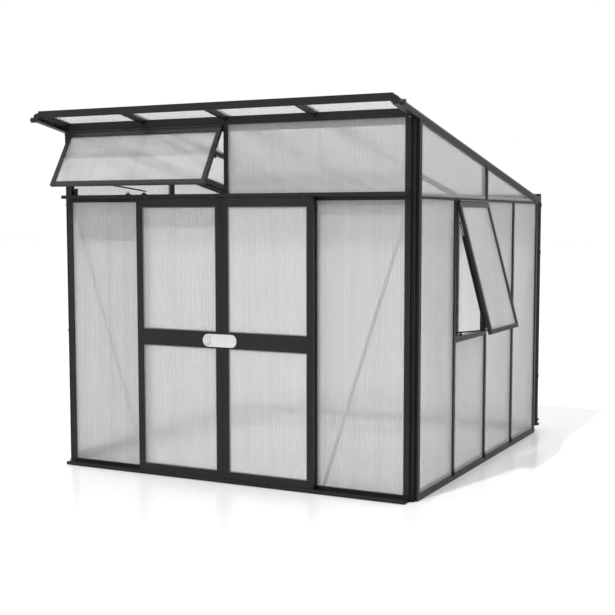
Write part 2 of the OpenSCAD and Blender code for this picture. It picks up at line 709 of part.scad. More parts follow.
base_rail_front();
base_rail_back();
base_rail_left();
base_rail_right();
corner_posts_front();
corner_posts_back();
front_rail();
front_top_plate();
front_mid_post();
door_jambs();
side_rails();
back_top_plate();
side_wall_bars();
back_wall_bars();
gable_posts();
verges();
rafters();
eave_fascia();
roof_panels();
gutter();
gutter_end_caps();
downpipe();
downpipe_collars();
downpipe_clips();
front_panels();
clerestory_panel();
left_wall_panels();
right_wall_panels();
back_wall_panels();
gable_panels();
corner_braces();
door_top_track();
door_bottom_track();
track_end_stops();
window_sill_rail();
vent_hinge_rail();
window_hinge_rail();
vent_pegs();
window_pegs();
left_door_frame();
left_door_panels();
left_door_hangers();
left_door_guides();
right_door_frame();
right_door_panels();
right_door_hangers();
right_door_guides();
left_roller_outer();
left_roller_inner();
right_roller_inner();
right_roller_outer();
latch_plate();
latch_knob();
vent_sash_frame();
vent_sash_panel();
vent_stay();
window_sash_frame();
window_sash_panel();
window_stay();
window_lift_rod();
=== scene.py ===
"""Looks for the greenhouse: materials, small fittings, studio light and the photo's camera."""

import json
import math

import bmesh
import bpy
from mathutils import Matrix, Vector


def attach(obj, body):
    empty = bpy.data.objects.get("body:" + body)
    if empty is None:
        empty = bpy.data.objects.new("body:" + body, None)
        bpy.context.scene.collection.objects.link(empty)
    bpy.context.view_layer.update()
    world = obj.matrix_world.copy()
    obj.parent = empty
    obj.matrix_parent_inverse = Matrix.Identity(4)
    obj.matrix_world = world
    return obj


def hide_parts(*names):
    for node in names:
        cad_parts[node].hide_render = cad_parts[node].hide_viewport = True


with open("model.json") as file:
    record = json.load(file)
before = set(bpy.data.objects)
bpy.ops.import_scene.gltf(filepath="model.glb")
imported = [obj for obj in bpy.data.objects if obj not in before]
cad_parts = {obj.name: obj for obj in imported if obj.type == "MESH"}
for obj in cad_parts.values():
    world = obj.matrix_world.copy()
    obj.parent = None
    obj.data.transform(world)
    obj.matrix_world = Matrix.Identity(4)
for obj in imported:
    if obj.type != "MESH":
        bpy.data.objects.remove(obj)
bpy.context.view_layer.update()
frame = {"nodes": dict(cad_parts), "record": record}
nodes = frame["nodes"]

MM = 1000.0  # millimetres in a metre

# Camera of the photograph, in metres and radians
CAMERA_AT = Vector((3.6742, -7.3387, 1.6420))
CAMERA_YAW = 0.46224
CAMERA_PITCH = -0.08742
CAMERA_REACH = 300
LENS_MM = 66.80
SENSOR_MM = 36.0
SHIFT_X = -0.02015
SHIFT_Y = 0.01964

# Colours, as linear light
ANTHRACITE = (0.0130, 0.0134, 0.0134)
ANTHRACITE_WORN = (0.0175, 0.0180, 0.0180)
# Sheets: the pale colour, and the darker end shared by random streaks and the painted shade in the
# flutes' troughs
SHEET_PALE = (0.86, 0.875, 0.87)
SHEET_STREAK_AND_FLUTE_SHADE = (0.75, 0.765, 0.76)
# A lighter copy of the sheet colours for the side walls and the window sash: painted light
SIDE_LIT_PALE = (0.89, 0.905, 0.90)
SIDE_LIT_STREAK_AND_FLUTE_SHADE = (0.74, 0.755, 0.75)
# A darker copy of the sheet colours for the front panels and the vent sash: painted shade
FRONT_SHADED_PALE = (0.80, 0.815, 0.81)
FRONT_SHADED_STREAK_AND_FLUTE_SHADE = (0.65, 0.665, 0.66)
BLACK = (0.005, 0.005, 0.005)
ZINC = (0.42, 0.43, 0.44)
WHITE = (0.60, 0.60, 0.60)
RUBBER = (0.20, 0.205, 0.20)
FOIL = (0.30, 0.305, 0.30)
FLOOR_DULL = (0.945, 0.945, 0.945)
FLOOR_PALE = (0.96, 0.96, 0.96)

# Noise: how fine it is, and for bumps their strength and their depth in metres
NOISE_RAMP = (0.35, 0.65)
NOISE_DETAIL = 3.0
GRAIN_DETAIL = 2.0
COAT_PATCHES = 2.2
COAT_GRAIN = 900.0
COAT_PEEL = (0.12, 0.0004)
MOULDED_PATCHES = 9.0
MOULDED_GRAIN = 500.0
MOULDED_BUMP = (0.1, 0.0003)
ZINC_SPANGLE = 60.0
FLOOR_PATCHES = 0.6

# Finish of each kind of surface
COAT_ROUGHNESS = 0.33
COAT_GLOSS_VARIES = (-0.05, 0.07)
COAT_SPECULAR = 0.4
MOULDED_LIGHTER = 1.12
MOULDED_LIFT = 0.004
MOULDED_SPECULAR = 0.25
BLACK_ROUGHNESS = 0.5
WHITE_ROUGHNESS = 0.32
RUBBER_ROUGHNESS = 0.7
FOIL_ROUGHNESS = 0.55
ZINC_LIGHTER = 1.25
ZINC_METALLIC = 0.85
ZINC_ROUGHNESS = 0.42
FLOOR_ROUGHNESS = 0.22
FLOOR_SPECULAR = 0.25

# Twin-wall sheets: flutes in metres, the share of painted shade in their troughs, and streaks and
# bands drawn out along them
FLUTE = 0.0125
FLUTE_DEPTH = 0.0016
FLUTE_SHADE_SHARE = 0.3
STREAKS = 105.0
STREAKS_ALONG = 0.04
BANDS = 14.0
BANDS_ALONG = 0.2
BAND_SHARE = 0.45
TINT_RAMP = (0.50, 1.00)
SHEET_ROUGHNESS = 0.08
SHEET_TRANSMISSION = 0.58
SHEET_IOR = 1.25
SHEET_SHINE = 0.3
SASH_SHINE = 0.12
SIDE_RELIEF = 0.55
SASH_RELIEF = 0.35

# How dense each sheet is: what is left of 1 lets the light straight through
SHEET_ALPHA = 0.80
SIDE_ALPHA = 0.76
SASH_ALPHA = 0.74
ROOF_ALPHA = 0.42
GABLE_ALPHA = 0.40

# Light: the sun, and how strong the sky is and how far up or back a ray has to point for it
SUN_TRAVEL = Vector((0.15, 0.65, -1.0))
SUN_AT = (-2, -6, 8)
SUN_ANGLE = math.radians(2)
SUN_STRENGTH = 1.5
SKY_SIDE = 0.34
SKY_TOP = 1.05
SKY_TOP_UP = (0.0, 0.7)
SKY_BEHIND = 1.0
SKY_BEHIND_UP = (0.10, 0.32)
SKY_BEHIND_BACK = (0.2, 1.0)


def material(name):
    """A new material with its node tree and its Principled shader."""
    m = bpy.data.materials.new(name)
    m.use_nodes = True
    tree = m.node_tree
    return m, tree, tree.nodes["Principled BSDF"]


def add(tree, kind, **values):
    """A new node with the given inputs or settings."""
    node = tree.nodes.new(kind)
    for key, value in values.items():
        if key in node.inputs.keys():
            node.inputs[key].default_value = value
        else:
            setattr(node, key, value)
    return node


def calc(tree, operation, *values, use_clamp=False):
    """The result of a maths node, each of whose values is a socket or a number."""
    node = add(tree, "ShaderNodeMath", operation=operation, use_clamp=use_clamp)
    for socket, value in zip(node.inputs, values):
        if isinstance(value, float):
            socket.default_value = value
        else:
            tree.links.new(value, socket)
    return node.outputs["Value"]


def mapped(tree, value, source=(0.0, 1.0), target=(0.0, 1.0), **settings):
    """A value carried over from one range to another."""
    node = add(tree, "ShaderNodeMapRange", **settings)
    for key, number in zip(("From Min", "From Max", "To Min", "To Max"), (*source, *target)):
        node.inputs[key].default_value = number
    tree.links.new(value, node.inputs["Value"])
    return node.outputs["Result"]


def rgba(colour):
    return (*colour, 1.0)


def ramp_between(tree, value, low, high, places):
    """A colour between low and high, as the value goes from one place to the other."""
    ramp = add(tree, "ShaderNodeValToRGB")
    for element, place, colour in zip(ramp.color_ramp.elements, places, (low, high)):
        element.position = place
        element.color = rgba(colour)
    tree.links.new(value, ramp.inputs["Fac"])
    return ramp.outputs["Color"]


def noise_at(tree, vector, scale, detail):
    """Noise, taken at a vector."""
    noise = add(tree, "ShaderNodeTexNoise", Scale=scale, Detail=detail)
    tree.links.new(vector, noise.inputs["Vector"])
    return noise.outputs["Fac"]


def noise_between(tree, low, high, scale):
    """A colour that wanders between low and high, and the place it is taken at."""
    place = add(tree, "ShaderNodeTexCoord").outputs["Object"]
    noise = noise_at(tree, place, scale, NOISE_DETAIL)
    return ramp_between(tree, noise, low, high, NOISE_RAMP), place


def bump_from(tree, height, strength, distance):
    """Normals that are bumped by a height."""
    bump = add(tree, "ShaderNodeBump", Strength=strength, Distance=distance)
    tree.links.new(height, bump.inputs["Height"])
    return bump.outputs["Normal"]


def grained(tree, shader, low, high, patches, grain, bump):
    """Gives a shader faint patches of colour and a fine bump. Returns the bump's grain."""
    colour, place = noise_between(tree, low, high, patches)
    tree.links.new(colour, shader.inputs["Base Color"])
    fine = noise_at(tree, place, grain, GRAIN_DETAIL)
    tree.links.new(bump_from(tree, fine, *bump), shader.inputs["Normal"])
    return fine


def powder_coat(name):
    """Powder-coated aluminium: a slight orange-peel bump and faint dusty patches."""
    m, tree, shader = material(name)
    grain = grained(tree, shader, ANTHRACITE, ANTHRACITE_WORN, COAT_PATCHES, COAT_GRAIN, COAT_PEEL)
    gloss = mapped(tree, grain, target=[COAT_ROUGHNESS + more for more in COAT_GLOSS_VARIES])
    tree.links.new(gloss, shader.inputs["Roughness"])
    shader.inputs["Specular IOR Level"].default_value = COAT_SPECULAR
    return m


def drawn_out(tree, place, axis, across, along):
    """Noise that varies along one axis and hardly along the two others."""
    stretch = add(tree, "ShaderNodeMapping")
    scale = (across, along, along) if axis == "X" else (along, across, along)
    stretch.inputs["Scale"].default_value = scale
    tree.links.new(place, stretch.inputs["Vector"])
    return noise_at(tree, stretch.outputs["Vector"], 1.0, GRAIN_DETAIL)


def fluted_sheet(name, axis, pale, streak_and_flute_shade, alpha, relief=1.0, shine=SHEET_SHINE):
    """Twin-wall sheet: translucent, with fine flutes that repeat along axis and painted shade
    darkening their troughs.
    """
    m, tree, shader = material(name)
    place = add(tree, "ShaderNodeTexCoord").outputs["Object"]
    split = add(tree, "ShaderNodeSeparateXYZ")
    tree.links.new(place, split.inputs["Vector"])
    count = calc(tree, "MULTIPLY", split.outputs[axis], 2 * math.pi / FLUTE)
    ridge = mapped(tree, calc(tree, "SINE", count), source=(-1.0, 1.0))
    streak = drawn_out(tree, place, axis, STREAKS, STREAKS_ALONG)
    band = drawn_out(tree, place, axis, BANDS, BANDS_ALONG)
    uneven = calc(tree, "MULTIPLY_ADD", band, BAND_SHARE, streak)
    # Painted shade: the flutes' troughs are darker, over the random streaks and bands
    shade = calc(tree, "MULTIPLY_ADD", ridge, FLUTE_SHADE_SHARE, uneven)
    tree.links.new(ramp_between(tree, shade, streak_and_flute_shade, pale, TINT_RAMP), shader.inputs["Base Color"])
    tree.links.new(bump_from(tree, ridge, relief, FLUTE_DEPTH), shader.inputs["Normal"])
    shader.inputs["Roughness"].default_value = SHEET_ROUGHNESS
    shader.inputs["Transmission Weight"].default_value = SHEET_TRANSMISSION
    shader.inputs["IOR"].default_value = SHEET_IOR
    shader.inputs["Alpha"].default_value = alpha
    shader.inputs["Specular IOR Level"].default_value = shine
    return m


def moulded(name, base, roughness):
    """Moulded plastic or rubber with a fine spark-eroded surface."""
    m, tree, shader = material(name)
    lighter = tuple(min(1.0, c * MOULDED_LIGHTER + MOULDED_LIFT) for c in base)
    grained(tree, shader, base, lighter, MOULDED_PATCHES, MOULDED_GRAIN, MOULDED_BUMP)
    shader.inputs["Roughness"].default_value = roughness
    shader.inputs["Specular IOR Level"].default_value = MOULDED_SPECULAR
    return m


def zinc(name):
    """Galvanised steel with a soft spangle."""
    m, tree, shader = material(name)
    lighter = tuple(c * ZINC_LIGHTER for c in ZINC)
    colour, _ = noise_between(tree, ZINC, lighter, ZINC_SPANGLE)
    tree.links.new(colour, shader.inputs["Base Color"])
    shader.inputs["Metallic"].default_value = ZINC_METALLIC
    shader.inputs["Roughness"].default_value = ZINC_ROUGHNESS
    return m


coat = powder_coat("anthracite_coat")
sheet_x = fluted_sheet("fluted_sheet_x", "X", SHEET_PALE, SHEET_STREAK_AND_FLUTE_SHADE, SHEET_ALPHA)
# Painted light: a lighter copy of the sheet colours for the side walls and the window sash
sheet_y_lit = fluted_sheet("fluted_sheet_y_lit", "Y", SIDE_LIT_PALE, SIDE_LIT_STREAK_AND_FLUTE_SHADE, SIDE_ALPHA, SIDE_RELIEF)
sheet_roof = fluted_sheet("fluted_sheet_roof", "X", SHEET_PALE, SHEET_STREAK_AND_FLUTE_SHADE, ROOF_ALPHA)
sheet_gable = fluted_sheet("fluted_sheet_gable", "Y", SHEET_PALE, SHEET_STREAK_AND_FLUTE_SHADE, GABLE_ALPHA)
# Painted shade: darker copies of the sheet colours for the front panels and the vent sash
sheet_front_shaded = fluted_sheet("fluted_sheet_front_shaded", "X", FRONT_SHADED_PALE, FRONT_SHADED_STREAK_AND_FLUTE_SHADE, SHEET_ALPHA)
sheet_sash_shaded = fluted_sheet("fluted_sheet_sash_shaded", "X", FRONT_SHADED_PALE, FRONT_SHADED_STREAK_AND_FLUTE_SHADE, SASH_ALPHA,
                          SASH_RELIEF, SASH_SHINE)
black_plastic = moulded("black_plastic", BLACK, BLACK_ROUGHNESS)
white_plastic = moulded("white_plastic", WHITE, WHITE_ROUGHNESS)
bare_metal = zinc("galvanised")
rubber = moulded("gasket_rubber", RUBBER, RUBBER_ROUGHNESS)
closure_foil = moulded("closure_foil", FOIL, FOIL_ROUGHNESS)

# The record's slot gives each CAD node its material, and a sheet's place its own kind; the side
# walls' kind is painted lighter and the front's and vent's darker, as painted light and shade
SHEETS = {"left_wall_panels": sheet_y_lit, "right_wall_panels": sheet_y_lit,
          "window_sash_panel": sheet_y_lit, "gable_panels": sheet_gable,
          "roof_panels": sheet_roof, "front_panels": sheet_front_shaded,
          "vent_sash_panel": sheet_sash_shaded}
SLOT_MATERIAL = {"frame": coat, "fittings": black_plastic, "bare_metal": bare_metal,
                 "latch": white_plastic}
slots = {s["node"]: s["material_slot"] for s in frame["record"]["subparts"]}
for name, obj in nodes.items():
    if slots[name] == "glazing":
        chosen = SHEETS.get(name, sheet_x)
    else:
        chosen = SLOT_MATERIAL[slots[name]]
    obj.data.materials.clear()
    obj.data.materials.append(chosen)
    for polygon in obj.data.polygons:
        polygon.material_index = 0

# Sizes of the solids that small fittings sit on, in millimetres from the front left corner
WIDTH = 2530.0
DEPTH = 2530.0
BAY = 610
HALF_BAY = 305
BAYS = (655.0, 1265.0, 1875.0)
POST_END = 75.0
BAR_HALF = 14.0
RAIL_TOP = 1800.0
SILL_TOP = 38.0
SIDE_TOP = 1776.0
FRONT_TOP = 2272.0
ROOF_Z = 2272.3
BACK_TOP = 1820.4
DOOR_FRONT = -58.0
DOOR_LOW = 20.0
DOOR_HIGH = 1776.0
DOOR_SPANS = {"left_door": (633.0, 1264.5), "right_door": (1265.5, 1897.0)}
STILE = 43.0
MID_RAIL = (847.0, 947.0)
DOOR_OPENINGS = ((72.0, 847.0), (947.0, 1720.0))
DOOR_SHEET = (-49.0, -43.0)
LATCH_PIVOT = (1164.0, 894.0)
HINGE_V = -12.0
VENT_AXIS = 2213.0
VENT_ANGLE = math.radians(31)
VENT_RIGHT = 1248.0
WINDOW_AXIS = 1757.0
WINDOW_ANGLE = math.radians(15)
WINDOW_LEFT = 672.0
WINDOW_SILL = 902.0
PEG_V = 29.0

MID_POST = (BAYS[1] - BAR_HALF, BAYS[1] + BAR_HALF)
SLOPE = math.atan((FRONT_TOP - BACK_TOP) / DEPTH)
SUNK = 0.1  # how far a fitting reaches into the solid that it sits on

# Rounded edges: in two steps, where faces meet at more than this angle
ROUND_SEGMENTS = 2
ROUND_FROM = math.radians(40)


def at(x, y, z):
    """Millimetres from the front left corner to the frame's metres."""
    return Vector(((x - WIDTH / 2) / MM, (y - DEPTH / 2) / MM, z / MM))


def on_right(u, v, z):
    """A point of the right wall: u along it, v into the house."""
    return at(WIDTH - v, u, z)


def on_left(u, v, z):
    """The same on the left wall."""
    return at(v, u, z)


def on_back(u, v, z):
    """The same on the back wall."""
    return at(u, DEPTH - v, z)


def on_mid_post(u, v, z):
    """A point by the left side of the front's middle post: u into the house, v into the post."""
    return at(MID_POST[0] + v, u, z)


def swung(v, z, axis_z, angle):
    """Where a point of a closed sash is when the sash stands open."""
    dv, dz = v - HINGE_V, z - axis_z
    return (HINGE_V + dv * math.cos(angle) + dz * math.sin(angle),
            axis_z - dv * math.sin(angle) + dz * math.cos(angle))


def on_vent(u, v, z):
    """A point of the closed vent, moved to where the vent stands open."""
    return at(u, *swung(v, z, VENT_AXIS, VENT_ANGLE))


def on_window(u, v, z):
    """A point of the closed window, moved to where the window stands open."""
    return on_right(u, *swung(v, z, WINDOW_AXIS, WINDOW_ANGLE))


def on_roof(x, down, along):
    """A point of the roof: along its slope from the front wall, down from its plane."""
    return at(x, along * math.cos(SLOPE) - down * math.sin(SLOPE),
              ROOF_Z - along * math.sin(SLOPE) - down * math.cos(SLOPE))


WALLS = (on_right, on_left, on_back)
BOX_FACES = ((0, 1, 2, 3), (7, 6, 5, 4), (0, 4, 5, 1), (1, 5, 6, 2), (2, 6, 7, 3), (3, 7, 4, 0))


def turn(i, steps):
    """The angle of step i of a full turn."""
    return 2 * math.pi * i / steps


def box_between(mesh, corners):
    """Closes a box whose eight corners are given face by face."""
    for quad in BOX_FACES:
        mesh.faces.new([corners[i] for i in quad])


def block(mesh, to, low, high, draft=0.0):
    """A block between two corners, its outer face (lowest v) smaller by draft."""
    (a, c, e), (b, d, f) = low, high
    box_between(mesh, [mesh.verts.new(to(x, v, z)) for x, v, z in (
        (a + draft, c, e + draft), (b - draft, c, e + draft),
        (b - draft, c, f - draft), (a + draft, c, f - draft),
        (a, d, e), (b, d, e), (b, d, f), (a, d, f))])


def lathe(mesh, to, centre, profile, steps, upright=False):
    """A turned shape: profile is (radius, height) pairs, heights outwards from the wall or up."""
    u, v, z = centre
    rings = []
    for radius, height in profile:
        around = []
        for i in range(steps if radius else 1):
            p, q = radius * math.cos(turn(i, steps)), radius * math.sin(turn(i, steps))
            spot = (u + p, v + q, z + height) if upright else (u + p, v - height, z + q)
            around.append(mesh.verts.new(to(*spot)))
        rings.append(around)
    for lower, upper in zip(rings, rings[1:]):
        for i in range(steps):
            j = (i + 1) % steps
            corners = [lower[i % len(lower)], lower[j % len(lower)],
                       upper[j % len(upper)], upper[i % len(upper)]]
            kept = [c for k, c in enumerate(corners) if c not in corners[:k]]
            if len(kept) > 2:
                mesh.faces.new(kept)


def shell(mesh, rings):
    """Joins rings of vertices one to the next and caps both ends."""
    for lower, upper in zip(rings, rings[1:]):
        for i in range(len(lower)):
            j = (i + 1) % len(lower)
            mesh.faces.new((lower[i], lower[j], upper[j], upper[i]))
    mesh.faces.new(rings[0])
    mesh.faces.new(rings[-1][::-1])


def strip(mesh, to, outline, start, end):
    """A closed outline of (v, z) points drawn along u."""
    shell(mesh, [[mesh.verts.new(to(u, v, z)) for v, z in outline] for u in (start, end)])


def plate(mesh, to, layers):
    """Stacked outlines of (u, z) points, each at its own v."""
    shell(mesh, [[mesh.verts.new(to(u, v, z)) for u, z in outline] for outline, v in layers])


def axes_along(start, end):
    """The direction from start to end, and two directions square to it."""
    axis = (end - start).normalized()
    side = axis.orthogonal().normalized()
    return axis, side, axis.cross(side)


def piece(name, body, look, build, bevel=0.0, smooth=False):
    """A riding piece built in a bmesh, with its edges rounded by bevel millimetres."""
    mesh = bmesh.new()
    build(mesh)
    bmesh.ops.recalc_face_normals(mesh, faces=mesh.faces[:])
    data = bpy.data.meshes.new(name)
    mesh.to_mesh(data)
    mesh.free()
    if smooth:
        for polygon in data.polygons:
            polygon.use_smooth = True
    made = bpy.data.objects.new(name, data)
    bpy.context.scene.collection.objects.link(made)
    data.materials.append(look)
    if bevel:
        rounded = made.modifiers.new("rounded", "BEVEL")
        rounded.width = bevel / MM
        rounded.segments = ROUND_SEGMENTS
        rounded.limit_method = "ANGLE"
        rounded.angle_limit = ROUND_FROM
    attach(made, body)
    return made


# A flanged dome head with a shallow drive recess, for a radius of 1
SCREW_HEAD = ((0, 0), (1, 0), (1, 0.22), (0.72, 0.36), (0.62, 0.60), (0.40, 0.72), (0.24, 0.72),
              (0.20, 0.40), (0, 0.40))
SCREW_STEPS = 10
SCREW_RADIUS = 4.5
DOOR_SCREW_RADIUS = 4.0


def screws(name, body, look, spots, radius=SCREW_RADIUS):
    """Screw heads: spots are (wall, u, v, z)."""
    profile = [(wide * radius, high * radius) for wide, high in SCREW_HEAD]

    def build(mesh):
        for to, u, v, z in spots:
            lathe(mesh, to, (u, v, z), profile, SCREW_STEPS)
    return piece(name, body, look, build)


def body_of(node):
    """The body that carries a CAD node."""
    return next(b for b, held in frame["record"]["behaviour"]["bodies"].items() if node in held)


# Latch: a plate with a raised, rounded rim, and a dial that turns on its pivot
LATCH_BACK = (40.0, 4.0)   # radius of the round end, and its centre from the pivot
LATCH_END = (37.0, 170.0)  # the same for the two corners of the other end
LATCH_BACK_STEPS = 16
LATCH_CORNER_STEPS = 8
LATCH_LAYERS = ((0.6, 1.0), (0, 1.6), (0, 4.2), (1.2, 6.0),  # (inset, height over the door)
                (3.2, 7.0), (6.4, 6.8), (8.2, 5.2), (9.4, 5.0))
DIAL_FOOT = 5.0
DIAL_STEPS = 40
DIAL = ((0, 0), (17.5, 0), (17.5, 3.4), (21.0, 4.0), (22.0, 5.4), (22.0, 7.4), (20.6, 9.2),
        (17.4, 9.8), (14.6, 8.6), (12.4, 5.6), (7.0, 5.2), (5.8, 8.4), (2.6, 8.4), (1.9, 5.0),
        (0, 5.0))


def latch_outline(inset):
    """The latch plate's outline, made smaller by inset."""
    x, z = LATCH_PIVOT
    points = []
    radius, centre = LATCH_BACK
    for i in range(LATCH_BACK_STEPS + 1):
        a = math.radians(90 + 180 * i / LATCH_BACK_STEPS)
        points.append((x + centre + (radius - inset) * math.cos(a),
                       z + (radius - inset) * math.sin(a)))
    radius, centre = LATCH_END
    for side, start in ((-1, -90), (1, 0)):
        for i in range(LATCH_CORNER_STEPS + 1):
            a = math.radians(start + 90 * i / LATCH_CORNER_STEPS)
            points.append((x + centre + (radius - inset) * math.cos(a),
                           z + side * (LATCH_BACK[0] - radius) + (radius - inset) * math.sin(a)))
    return points


def build_latch(mesh):
    plate(mesh, at, [(latch_outline(inset), DOOR_FRONT - out) for inset, out in LATCH_LAYERS])


def build_dial(mesh):
    lathe(mesh, at, (LATCH_PIVOT[0], DOOR_FRONT - DIAL_FOOT, LATCH_PIVOT[1]), DIAL, DIAL_STEPS)


latch_cover = piece("latch_cover", body_of("latch_plate"), white_plastic, build_latch,
                    smooth=True)
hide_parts("latch_plate")
latch_dial = piece("latch_dial", body_of("latch_knob"), white_plastic, build_dial,
                   smooth=True)
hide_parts("latch_knob")

# Doors: glazing gaskets, ribs on the meeting stiles and screws
GASKET = 6.0
GASKET_THICK = 3.0
RIBS = ((2.4, 2.2), (13.0, 4.0), (27.0, 4.0), (40.0, 2.2))  # (way from the seam, half width)
RIB_PROUD = 0.8
RIB_DRAFT = 0.9
RIB_SPANS = ((DOOR_LOW + 3, MID_RAIL[0] - 1), (MID_RAIL[1] + 1, DOOR_HIGH - 3))
DOOR_SCREWS = (DOOR_LOW + 14, DOOR_LOW + 38, MID_RAIL[0] + 22, MID_RAIL[1] - 22,
               DOOR_HIGH - 38, DOOR_HIGH - 14)
LATCH_COVERS_U = (1120.0, 1380.0)
LATCH_COVERS_Z = 50.0


def gasket(mesh, span, rise, v, outwards):
    """A gasket round an opening, lying on the sheet face at v."""
    (a, b), (low, high) = span, rise
    lip = v - outwards * GASKET_THICK
    for u0, u1, z0, z1 in ((a, a + GASKET, low, high), (b - GASKET, b, low, high),
                           (a + GASKET, b - GASKET, low, low + GASKET),
                           (a + GASKET, b - GASKET, high - GASKET, high)):
        block(mesh, at, (u0, min(v, lip), z0), (u1, max(v, lip), z1))


def under_latch(u, z):
    """Whether the latch covers a spot of the doors."""
    return (LATCH_COVERS_U[0] < u < LATCH_COVERS_U[1]
            and abs(z - LATCH_PIVOT[1]) < LATCH_COVERS_Z)


def dress_door(body, seam, inwards):
    """The small pieces of one door: inwards is the way along u from the seam into the door."""
    left, right = DOOR_SPANS[body]

    def build_gaskets(mesh):
        for rise in DOOR_OPENINGS:
            for v, outwards in zip(DOOR_SHEET, (1, -1)):
                gasket(mesh, (left + STILE, right - STILE), rise, v, outwards)

    def build_ribs(mesh):
        for offset, half in RIBS:
            middle = seam + inwards * offset
            for low, high in RIB_SPANS:
                block(mesh, at, (middle - half, DOOR_FRONT - RIB_PROUD, low),
                      (middle + half, DOOR_FRONT + SUNK, high), RIB_DRAFT)

    spots = [(at, u, DOOR_FRONT, z) for u in (left + STILE / 2, right - STILE / 2)
             for z in DOOR_SCREWS if not under_latch(u, z)]
    piece(body + "_gaskets", body, rubber, build_gaskets, bevel=0.8)
    piece(body + "_ribs", body, coat, build_ribs, bevel=0.3)
    screws(body + "_screws", body, black_plastic, spots, DOOR_SCREW_RADIUS)


dress_door("left_door", DOOR_SPANS["left_door"][1], -1)
dress_door("right_door", DOOR_SPANS["right_door"][0], 1)

# Walls: feet of the glazing bars, in two steps
BAR_FEET = ((17, -3.5, 25, 0.2, 66, 1.5),   # (half width, v and z from, v and z to, draft)
            (10, -5.5, 31, -3.2, 56, 1.2))


def build_bar_feet(mesh):
    for to in WALLS:
        for u in BAYS:
            for half, v0, z0, v1, z1, draft in BAR_FEET:
                block(mesh, to, (u - half, v0, z0), (u + half, v1, z1), draft)


piece("bar_feet", "frame", black_plastic, build_bar_feet, bevel=0.8)

# Closures along the lower edges of the wall sheets and the gables' sheets: (v, height)
CLOSURE = ((8.6, 0.0), (9.2, 0.0), (9.2, 24.0), (8.8, 24.5), (8.4, 24.0))
GABLE_CLOSURE = ((8.6, 0.0), (9.2, 0.0), (9.2, 20.0), (8.4, 20.0))
GABLE_LOW_END = 2390.0
GABLE_SPANS = ((POST_END, MID_POST[0]), (MID_POST[1], GABLE_LOW_END))


def raised(outline, by):
    """An outline of (v, z) points, moved up."""
    return [(v, z + by) for v, z in outline]


def build_closures(mesh):
    stops = ([POST_END] + [u + k for u in BAYS for k in (-BAR_HALF, BAR_HALF)]
             + [DEPTH - POST_END])
    for to in WALLS:
        for low, high in zip(stops[::2], stops[1::2]):
            strip(mesh, to, raised(CLOSURE, SILL_TOP), low, high)
    for to in (on_right, on_left):
        for low, high in GABLE_SPANS:
            strip(mesh, to, raised(GABLE_CLOSURE, SIDE_TOP), low, high)


piece("sheet_closures", "frame", closure_foil, build_closures)

# Screws on the walls' outer faces
SCREW_FIRST = 350
SCREW_LAST = 2180
POST_SCREW = 30
SIDE_POST_SCREWS = (19, 900, 1740)
FRONT_POST_SCREWS = (19, 900, 1790, 2200)
BAR_FOOT_SCREW = (-5.5, 43.5)
SIDE_RAIL_SCREW_Z = 1768
TOP_PLATE_SCREW_Z = 2246
TRACK_SCREW_Z = 1778
TRACK_SCREWS = (110, 2420)

spots = []
for to in WALLS:
    spots += [(to, u, *BAR_FOOT_SCREW) for u in BAYS]
    spots += [(to, u, 0, z) for u in (POST_SCREW, DEPTH - POST_SCREW) for z in SIDE_POST_SCREWS]
    spots += [(to, u, 0, SIDE_RAIL_SCREW_Z) for u in range(SCREW_FIRST, SCREW_LAST + 1, BAY)]
spots += [(at, x, 0, z) for x in (POST_SCREW, WIDTH - POST_SCREW) for z in FRONT_POST_SCREWS]
spots += [(at, x, 0, TOP_PLATE_SCREW_Z) for x in range(SCREW_FIRST, SCREW_LAST + 1, HALF_BAY)]
spots += [(at, x, 0, TRACK_SCREW_Z) for x in TRACK_SCREWS]
screws("wall_screws", "frame", black_plastic, spots)

# Top plate: its web hangs behind the upper sheets
WEB_SECTION = ((9.4, 2181.0), (23.0, 2181.0), (23.0, 2183.0), (11.9, 2183.0), (11.9, 2220.8),
               (9.4, 2220.8))
WEB_GAP = 0.5


def build_web(mesh):
    for start, end in ((POST_END, MID_POST[0]), (MID_POST[1], WIDTH - POST_END)):
        strip(mesh, at, WEB_SECTION, start + WEB_GAP, end - WEB_GAP)


piece("top_plate_web", "frame", coat, build_web, bevel=0.4)

# Roof: screws along the rafters' caps, straps under the gutter
RAFTER_CAP = 13.2
ROOF_SCREW_FIRST = -245
ROOF_SCREW_LAST = 2500
STRAP_SECTION = ((-0.3, 1767.4), (-82.4, 1767.4), (-82.4, 1828.0), (-80.4, 1828.0),
                 (-80.4, 1769.4), (-0.3, 1769.4))
STRAPS = (300.0, 880.0, 1460.0, 2040.0)
STRAP_HALF = 11


def build_straps(mesh):
    for u in STRAPS:
        strip(mesh, on_back, STRAP_SECTION, u - STRAP_HALF, u + STRAP_HALF)


roof_spots = [(on_roof, x, -RAFTER_CAP, along) for x in BAYS
              for along in range(ROOF_SCREW_FIRST, ROOF_SCREW_LAST + 1, HALF_BAY)]
screws("roof_screws", "frame", black_plastic, roof_spots)
piece("gutter_straps", "frame", coat, build_straps, bevel=0.5)

# Feet round the stay pegs: two steps and a collar
FOOT = ((-8, 0), (8, 0), (8, 5), (6, 8), (-6, 8), (-8, 5))
FOOT_COLLAR = ((0, 0), (7.5, 0), (7.0, 5.0), (5.2, 7.0), (0, 7.0))
FOOT_COLLAR_UP = 7.5
FOOT_STEPS = 16
VENT_PEGS = (510.0, 635.0)
VENT_FOOT_HALF = 17.0
WINDOW_PEGS = (730.0, 843.0)
WINDOW_FOOT_HALF = 13.0


